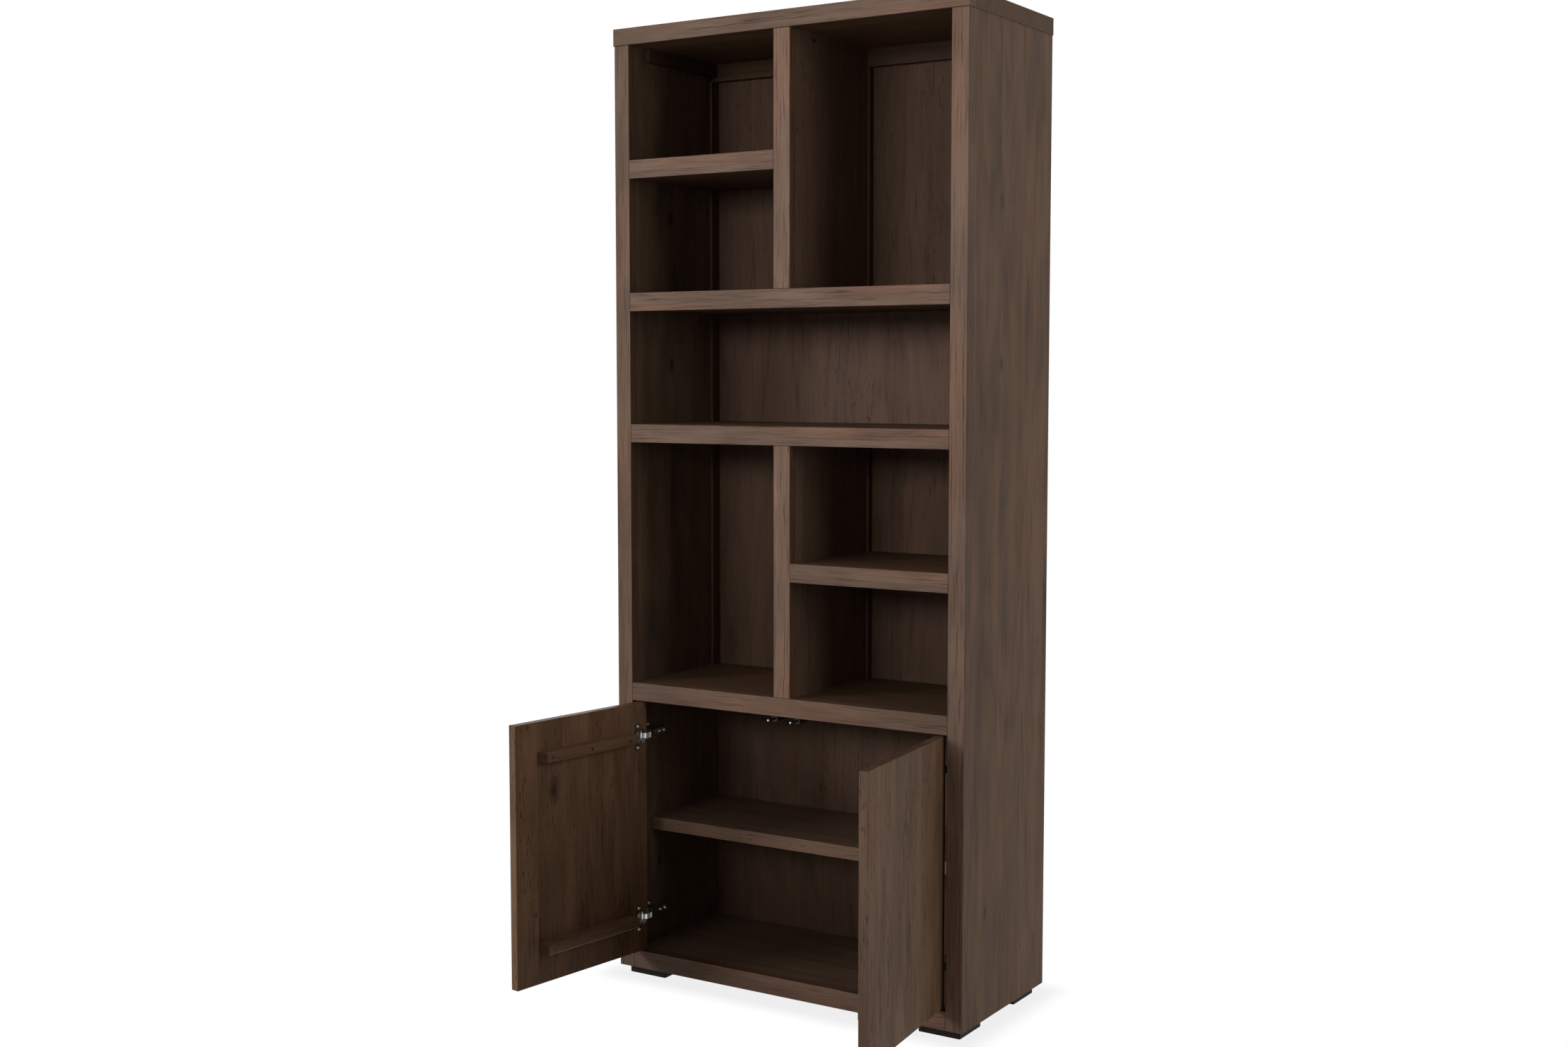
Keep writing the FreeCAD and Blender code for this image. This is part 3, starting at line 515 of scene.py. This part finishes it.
    def dressed(self, colour):
        """The finished material: stained places are rougher, and pores and streaks lie lower."""
        height = self.plus(self.times(self.open, self.PORE_DEPTH), self.times(self.lined, self.LINE_DEPTH))
        return self.finish({
            "Base Color": colour,
            "Roughness": self.line(self.stain, self.STAIN_ROUGHNESS, self.ROUGHNESS),
            "Specular IOR Level": self.SHINE,
            "Normal": self.bump(height, self.RELIEF, self.RELIEF_DEPTH)})


def shaded(colour, share):
    """A colour with all its parts lowered to a share."""
    return tuple(share * part for part in colour)


def oak(name, axes, light, dark, leaf, seed, turn=0.0, knots=0.0, marks=(), wave=0.0, lines=0.3,
        dashes=0.55, tone=0.16, clouds=0.4, hues=1.0, warm=YELLOW_CLOUD, rim=PLAIN, inside=None):
    """A board's finish: knots, rings, brushed grain, stain, clouds and tinted edges, one after another.

    knots is the chance of a knot in a cell. lines and dashes are the shares of streaks and pores in the
    stain, and tone, clouds and hues say how much leaves, patches and tints differ.
    """
    wood = Oak(name, axes, leaf, seed, turn)
    wood.grow_knots(knots, marks)
    wood.grow_rings(wave)
    wood.brush(lines, dashes)
    colour = wood.clouded(wood.stained(light, dark, tone, clouds), hues, warm)
    return wood.dressed(wood.knotted(wood.trimmed(colour, rim, inside), dark))


def metal(name, colour, roughness, clouds=160.0, shade=0.8, spread=0.12, peel=900.0):
    """Plated steel: fine clouds of shade and roughness, and a faint orange-peel.

    The roughness is its middle, plus spread times the cloud less a half.
    """
    steel = Shader(name)
    place = steel.place["Object"]
    cloud = steel.noise(place, clouds, detail=3.0)
    return steel.finish({
        "Base Color": steel.mix(cloud, shaded(colour, shade), colour),
        "Metallic": 1.0,
        "Roughness": steel.line(cloud, spread, roughness - spread / 2),
        "Normal": steel.bump(steel.noise(place, peel), strength=0.06, distance=0.0003)})


def matt(name, colour, roughness, grain=420.0, shade=0.7, spread=0.2, shine=0.5):
    """Paint or moulded plastic: a fine grain in shade, roughness and relief.

    The roughness is its middle, plus spread times the grain less a half.
    """
    paint = Shader(name)
    grains = paint.noise(paint.place["Object"], grain, detail=4.0, roughness=0.6)
    return paint.finish({
        "Base Color": paint.mix(grains, shaded(colour, shade), colour),
        "Roughness": paint.line(grains, spread, roughness - spread / 2),
        "Specular IOR Level": shine,
        "Normal": paint.bump(grains, strength=0.18, distance=0.0003)})


def plunger_finish(stem_roughness=0.5, tip_roughness=0.32, wander=900.0):
    """Dark stem with a bright plated tip: the colour steps along the plunger, at a slightly uneven edge."""
    plunger = Shader("plunger")
    place = plunger.place["Object"]
    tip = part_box("latch_plunger_left")[0][1] + TIP_LENGTH
    uneven = plunger.times(plunger.noise(place, wander), TIP_WANDER)
    deep = plunger.plus(plunger.parts(place)["Y"], uneven)
    bright = plunger.step(deep, tip, tip + TIP_EDGE, 1.0, 0.0)
    return plunger.finish({
        "Base Color": plunger.mix(bright, STEM_BLACK, TIP_PLATE),
        "Metallic": bright,
        "Roughness": plunger.step(bright, 0.0, 1.0, stem_roughness, tip_roughness)})


def wear(finish, *names):
    """Give nodes a finish."""
    for name in names:
        slots = nodes[name].data.materials
        slots.clear()
        slots.append(finish)


def finish_case():
    """Boards of the case: the grain runs up sides, dividers, back and strips, and along all that lies."""
    side = oak("oak_side", "zy", CASE_LIGHT, CASE_DARK, leaf=0.115, seed=3.0, knots=0.05, marks=SIDE_KNOTS,
               tone=0.26, clouds=1.1, hues=0.5, inside=side_low.x + INNER_SHADE_DEPTH)
    wear(side, "side_left", "side_right")
    top = oak("oak_top", "xy", TOP_LIGHT, CASE_DARK, leaf=0.13, seed=5.0)
    wear(top, "top_panel")
    divider = oak("oak_divider", "zy", DIVIDER_LIGHT, DIVIDER_DARK, leaf=0.12, seed=7.0, hues=0.5)
    wear(divider, *DIVIDERS)
    shelf = oak("oak_shelf", "xy", INNER_LIGHT, INNER_DARK, leaf=0.12, seed=9.0, hues=0.5)
    wear(shelf, *SHELVES)
    # Its front and back edges are lightened as painted highlights.
    low_shelf = oak("oak_low_shelf", "xy", DIVIDER_LIGHT, DIVIDER_DARK, leaf=0.12, seed=10.0, hues=0.5,
                    rim=LOOSE_EDGE_HIGHLIGHT)
    wear(low_shelf, "bottom_panel", "cabinet_shelf")
    back = oak("oak_back", "zx", BACK_LIGHT, BACK_DARK, leaf=0.14, seed=33.0, knots=0.04, hues=0.5)
    wear(back, "back_panel")
    strip = oak("oak_strip", "zx", INNER_LIGHT, INNER_DARK, leaf=0.05, seed=12.0)
    wear(strip, "wall_strips", "divider_strips")
    rail = oak("oak_rail", "xz", INNER_LIGHT, INNER_DARK, leaf=0.3, seed=13.0)
    wear(rail, "top_rail_left", "top_rail_right")
    # The cleats' darker colours are painted shade.
    cleat = oak("oak_cleat", "yz", SHADED_CLEAT_LIGHT, SHADED_CLEAT_DARK, leaf=0.3, seed=15.0)
    wear(cleat, "top_cleat_left", "top_cleat_right")


def finish_lippings():
    """Solid front lippings: few pores, wavy lines and rosy clouds, with dark edges."""
    grain = dict(wave=LIP_WAVE, lines=0.60, dashes=0.08, tone=0.12, clouds=0.8, warm=ROSE_CLOUD,
                 rim=LIPPING_RIM)
    lying = oak("oak_lipping_lying", "xz", LIP_LIGHT, LIP_DARK, leaf=NICHE_PITCH, seed=33.0, **grain)
    wear(lying, *(f"{board}_lipping" for board in ("top_panel", "bottom_panel", *SHELVES)))
    # The dividers' lighter and the left stile's darker lippings are painted light and painted shade.
    for name, light, seed, boards in (
            ("left", LEFT_LIP_SHADED, 33.0, ("side_left",)),
            ("right", LIP_LIGHT, 31.0, ("side_right",)),
            ("divider", DIVIDER_LIP_LIT, 20.0, DIVIDERS)):
        upright = oak(f"oak_lipping_{name}", "zx", light, LIP_DARK, leaf=0.22, seed=seed, **grain)
        wear(upright, *(f"{board}_lipping" for board in boards))


def finish_doors():
    """Doors of upright glued boards, with cross battens; both are textured as if the doors were shut."""
    for side in SIDES:
        turn = MIRROR[side] * DOOR_OPEN[side]
        # The doors' upright edges and the battens' top and bottom faces are lightened as painted
        # highlights.
        door = oak(f"oak_door_{side}", "zx", DOOR_LIGHT[side], DOOR_DARK, leaf=0.078, seed=DOOR_SEED[side],
                   turn=turn, knots=0.06, marks=DOOR_KNOTS[side], lines=0.45, dashes=0.9, tone=0.22,
                   clouds=0.95, hues=0.5, rim=DOOR_EDGE_HIGHLIGHT)
        # The left door's lighter colour is painted light.
        wear(door, f"door_{side}")
        batten = oak(f"oak_batten_{side}", "xz", BATTEN_LIGHT, DOOR_DARK, leaf=0.3, seed=BATTEN_SEED[side],
                     turn=turn, rim=BATTEN_EDGE_HIGHLIGHT)
        wear(batten, f"door_{side}_lower_batten", f"door_{side}_upper_batten")


def spun(points, pivot, degrees):
    """Points turned about an upright line through a pivot: the plan's rotation matrix times the offsets."""
    turn = math.radians(degrees)
    matrix = np.array(((math.cos(turn), -math.sin(turn)), (math.sin(turn), math.cos(turn))))
    flat = (points[..., :2] - pivot) @ matrix.T + pivot
    return np.concatenate((flat, points[..., 2:]), axis=-1)


def placed(points, side, carrier):
    """Points of a hinge, drawn with the door shut, as they stand in the photograph, in metres.

    A link turns about the arm's pin by its share of the door's angle. A door turns the other way, about the
    cup's pin, which the link carries along. The right side mirrors the left.
    """
    turn = LINK_SHARE * DOOR_OPEN[side]
    if carrier == "links":
        points = spun(points, ARM_PIVOT, turn)
    elif carrier == "door":
        shift = spun(np.array(CUP_PIVOT), ARM_PIVOT, turn) - CUP_PIVOT
        points = spun(points, CUP_PIVOT, -DOOR_OPEN[side]) + (*shift, 0.0)
    return (points - (INNER, 0.0, 0.0)) * (MILLIMETRE * MIRROR[side], MILLIMETRE, MILLIMETRE)


def full_turn(sides):
    """Evenly spaced angles of one full turn."""
    return np.linspace(0.0, 2.0 * np.pi, sides, endpoint=False)


def squared_off(wave, power):
    """A sine or cosine with fuller shoulders: its sign times its size to a power below one."""
    return np.sign(wave) * np.abs(wave) ** power


def screw(place, length, outwards):
    """Flat-headed screw: a profile of radius and height turned about its axis, with a cross in its face.

    The cross is deep where a point lies within both the reach and the half width of either of its two arms.
    """
    tip = np.array(SCREW_TIP) - (0.0, length)
    head = np.array(SCREW_HEAD) * (1.0, -1.0)
    face = np.stack((FACE_RADII, np.zeros_like(FACE_RADII)), axis=-1)
    radius, height = np.concatenate((tip, head, face)).T
    turn = full_turn(SCREW_SIDES)
    across, along = radius[:, None] * np.cos(turn), radius[:, None] * np.sin(turn)
    arms = [np.clip((CROSS_REACH - np.abs(long)) / CROSS_END, 0.0, 1.0)
            * np.clip((CROSS_HALF_WIDTH + CROSS_WALL - np.abs(wide)) / CROSS_WALL, 0.0, 1.0)
            for long, wide in ((across, along), (along, across))]
    on_face = (np.arange(len(radius)) >= len(tip) + len(head))[:, None]
    sunk = height[:, None] - CROSS_DEPTH * on_face * np.maximum(*arms)
    if outwards == "in":
        offsets = (sunk, across, along)
    else:
        offsets = (across, sunk, along)
    return np.stack(offsets, axis=-1) + place


def screws(places, outwards, level):
    """The screws of one hinge, whose heads look in from the stile or back from the door."""
    return [screw((inwards, deep, level + up), length, outwards) for inwards, deep, up, length in places]


def bent_line():
    """The link's middle line from pin to pin: straight runs, with a parabola over each corner.

    A point on a parabola, at a share of its way, is the start times the square of the share that is left,
    plus the corner times twice the share times what is left, plus the end times the square of the share.
    """
    corners = np.array((ARM_PIVOT, LINK_KNEE, LINK_HEEL, CUP_PIVOT))
    ways = np.diff(corners, axis=0)
    ways /= np.linalg.norm(ways, axis=1)[:, None]
    share = np.linspace(0.0, 1.0, BEND_STEPS)[:, None]
    runs = [corners[:1] + STRAP_START * ways[:1]]
    for corner, before, after in zip(corners[1:-1], ways[:-1], ways[1:]):
        start, end = corner - LINK_BEND * before, corner + LINK_BEND * after
        runs.append((1 - share) ** 2 * start + 2 * share * (1 - share) * corner + share ** 2 * end)
    runs.append(corners[-1:] - STRAP_START * ways[-1:])
    return np.concatenate(runs)


def strap(level):
    """The link's strap: a superellipse, wide and thin, carried along the middle line and square to it."""
    line = bent_line()
    way = np.gradient(line, axis=0)
    way /= np.linalg.norm(way, axis=1)[:, None]
    turn = full_turn(STRAP_SIDES)
    up = LINK_HALF_WIDTH * squared_off(np.cos(turn), STRAP_POWERS[0])
    out = LINK_HALF_THICK * squared_off(np.sin(turn), STRAP_POWERS[1])
    square = np.stack((-way[:, 1], way[:, 0]), axis=-1)
    plan = line[:, None, :] + out[None, :, None] * square[:, None, :]
    tall = np.broadcast_to((level + up)[None, :, None], (*plan.shape[:2], 1))
    return np.concatenate((plan, tall), axis=-1)


def eye(pivot, level):
    """A link's eye: a superellipse between bore and rim, turned about the pin's axis."""
    turn, loop = full_turn(EYE_SIDES), full_turn(EYE_LOOP)
    middle, half = (EYE_RADIUS + EYE_BORE) / 2, (EYE_RADIUS - EYE_BORE) / 2
    radius = (middle + half * squared_off(np.cos(loop), EYE_POWERS[0]))[:, None]
    up = LINK_HALF_WIDTH * squared_off(np.sin(loop), EYE_POWERS[1])
    tall = np.broadcast_to((level + up)[:, None], (EYE_LOOP, EYE_SIDES))
    return np.stack((pivot[0] + radius * np.cos(turn), pivot[1] + radius * np.sin(turn), tall), axis=-1)


def faces_of(grid, first, ring):
    """Quads over a grid whose columns close into loops; its rows close too, or end in two caps.

    A quad's normal is the cross product of its diagonals. If the normals point at the grid's middle on the
    whole, all faces are turned round.
    """
    rows, columns = grid.shape[:2]
    index = first + np.arange(rows * columns).reshape(rows, columns)
    beside = np.roll(index, -1, axis=1)
    quads = np.stack((index, beside, np.roll(beside, -1, axis=0), np.roll(index, -1, axis=0)), axis=-1)
    corners = grid.reshape(-1, 3)[quads - first]
    middles = corners.mean(axis=2)
    normals = np.cross(corners[..., 2, :] - corners[..., 0, :], corners[..., 3, :] - corners[..., 1, :])
    used = slice(None) if ring else slice(0, rows - 1)
    inwards = ((middles - grid.mean(axis=(0, 1))) * normals)[used].sum() < 0.0
    faces = quads[used].reshape(-1, 4).tolist()
    if not ring:
        faces += [index[0][::-1].tolist(), index[-1].tolist()]
    return [face[::-1] for face in faces] if inwards else faces


def piece(name, grids, finish, body, slot, *stands_for, rings=()):
    """One mesh of several grids, in place of CAD nodes, riding on a body.

    rings marks the grids whose rows close too. Without it, all grids end in caps.
    """
    faces, first = [], 0
    for grid, ring in zip(grids, rings or (False,) * len(grids)):
        faces += faces_of(grid, first, ring)
        first += grid.shape[0] * grid.shape[1]
    mesh = bpy.data.meshes.new(name)
    mesh.from_pydata(np.concatenate([grid.reshape(-1, 3) for grid in grids]).tolist(), [], faces)
    mesh.polygons.foreach_set("use_smooth", np.ones(len(mesh.polygons), dtype=bool))
    mesh.set_sharp_from_angle(angle=math.radians(SHARP_EDGE))
    mesh.materials.append(finish)
    made = bpy.data.objects.new(name, mesh)
    bpy.context.scene.collection.objects.link(made)
    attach(made, body)
    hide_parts(*stands_for)


def plate_screws(finish):
    """Screws of all hinge plates and arms, on the case."""
    heads = [placed(grid, side, "case") for side in SIDES for level in HINGE_LEVELS
             for grid in screws(PLATE_SCREWS, "in", level)]
    piece("plate_screw_set", heads, finish, "case", "steel", "plate_screws")


def door_screws(label, side, places, finish, slot):
    """Screws of one kind on one door."""
    heads = [placed(grid, side, "door") for level in HINGE_LEVELS for grid in screws(places, "back", level)]
    piece(f"{label}_screw_set_{side}", heads, finish, f"{side}_door", slot, f"{label}_screws_{side}")


def links(side, finish):
    """Links of one door: each a bent strap between two eyes, which are rings."""
    straps = [placed(grid, side, "links") for level in HINGE_LEVELS
              for grid in (strap(level), eye(ARM_PIVOT, level), eye(CUP_PIVOT, level))]
    piece(f"link_straps_{side}", straps, finish, f"{side}_links", "nickel", f"hinge_links_{side}",
          rings=(False, True, True) * len(HINGE_LEVELS))


def hardware_pieces(zinc, lit_satin, dark):
    """Screws with their cross recesses, and the hinges' links."""
    plate_screws(zinc)
    for side in SIDES:
        door_screws("cup", side, CUP_SCREWS, zinc, "steel")
        door_screws("batten", side, BATTEN_SCREWS, dark, "black_screw")
        links(side, lit_satin)


def finish_hardware():
    """Nickel hinges, darkened as painted shade, with their links brightened as a painted highlight; zinc
    screws and pins, dark latches, brown strikes and black feet.
    """
    nickel = metal("nickel", SHADED_NICKEL, roughness=0.30)
    zinc = metal("zinc", ZINC, roughness=0.36)
    dark = metal("dark_screw", DARK_STEEL, roughness=0.42)
    lit_satin = metal("satin_nickel_lit", LIT_SATIN_NICKEL, roughness=0.40)
    hardware_pieces(zinc, lit_satin, dark)
    wear(nickel, "hinge_plates", "hinge_arms", *(f"hinge_cups_{side}" for side in SIDES))
    wear(zinc, "arm_pins", "shelf_pins", *(f"cup_pins_{side}" for side in SIDES))
    wear(plunger_finish(), *(f"latch_plunger_{side}" for side in SIDES))
    wear(matt("latch_plastic", LATCH_BLACK, roughness=0.5), "latch_bodies", "connector_cap")
    wear(matt("strike_plastic", STRIKE_BROWN, roughness=0.5), *(f"strike_{side}" for side in SIDES))
    wear(matt("foot_paint", FOOT_BLACK, roughness=0.62, shine=0.12), "feet")


def studio_floor():
    """Grey floor that keeps the object's shadow near it and shows white further away.

    Rays that show the background see white mixed over the lit floor. The share of white grows smoothly with
    the distance from the case's footprint, which is a rectangle.
    """
    bpy.ops.mesh.primitive_plane_add(size=FLOOR_SIZE)
    floor = bpy.context.object
    floor.name = "studio_floor"
    grey = Shader("studio_floor")
    grey.finish({"Base Color": FLOOR_GREY, "Roughness": FLOOR_ROUGHNESS, "Specular IOR Level": FLOOR_SHINE})
    where = grey.parts(grey.place["Object"])
    beside = grey.minus(grey.math("ABSOLUTE", where["X"]), HALF_WIDTH)
    before = grey.minus(grey.math("ABSOLUTE", grey.minus(where["Y"], HALF_DEPTH)), HALF_DEPTH)
    away = grey.length(grey.larger(beside, 0.0), grey.larger(before, 0.0))
    share = grey.times(grey.seen(), grey.step(away, 0.0, SHADOW_REACH, SHADOW_SHARE, 1.0))
    white = grey.node("ShaderNodeEmission", {"Color": WHITE, "Strength": 1.0})
    mixed = grey.node("ShaderNodeMixShader", {0: share, 1: grey.surface.outputs[0], 2: white.outputs[0]})
    grey.put(grey.output.inputs["Surface"], mixed.outputs[0])
    floor.data.materials.append(grey.material)


def studio_world():
    """White background for the rays that show it, and a low even light for the others."""
    world = bpy.data.worlds.new("studio")
    world.use_nodes = True
    sky = NodeTree(world.node_tree)
    background = world.node_tree.nodes["Background"]
    level = sky.node("ShaderNodeMapRange", {"Value": sky.seen(), "To Min": AMBIENT, "To Max": 1.0})
    sky.put(background.inputs["Strength"], level.outputs[0])
    sky.put(background.inputs["Color"], WHITE)
    bpy.context.scene.world = world


def studio_lamps():
    """Softboxes from the left, the front, the right and behind."""
    for name, where, aim, size, watts, spread in SOFTBOXES:
        lamp = bpy.data.lights.new(name, "AREA")
        lamp.shape = "RECTANGLE"
        lamp.size, lamp.size_y = size
        lamp.energy = watts
        lamp.spread = math.radians(spread)
        box = bpy.data.objects.new(name, lamp)
        box.location = where
        box.rotation_euler = (Vector(aim) - Vector(where)).to_track_quat("-Z", "Y").to_euler()
        bpy.context.scene.collection.objects.link(box)


def camera():
    """The photograph's camera."""
    lens = bpy.data.cameras.new("photo_camera")
    lens.sensor_fit = "HORIZONTAL"
    lens.sensor_width = SENSOR_WIDTH
    lens.lens = LENS
    lens.clip_end = VIEW_END
    view = bpy.data.objects.new("photo_camera", lens)
    view.location = CAMERA_PLACE
    view.rotation_euler = Euler((math.radians(90.0 + CAMERA_PITCH), 0.0, math.radians(CAMERA_YAW)))
    bpy.context.scene.collection.objects.link(view)
    bpy.context.scene.camera = view


finish_case()
finish_lippings()
finish_doors()
finish_hardware()
studio_floor()
studio_world()
studio_lamps()
camera()
bpy.context.scene.view_settings.view_transform = "Standard"
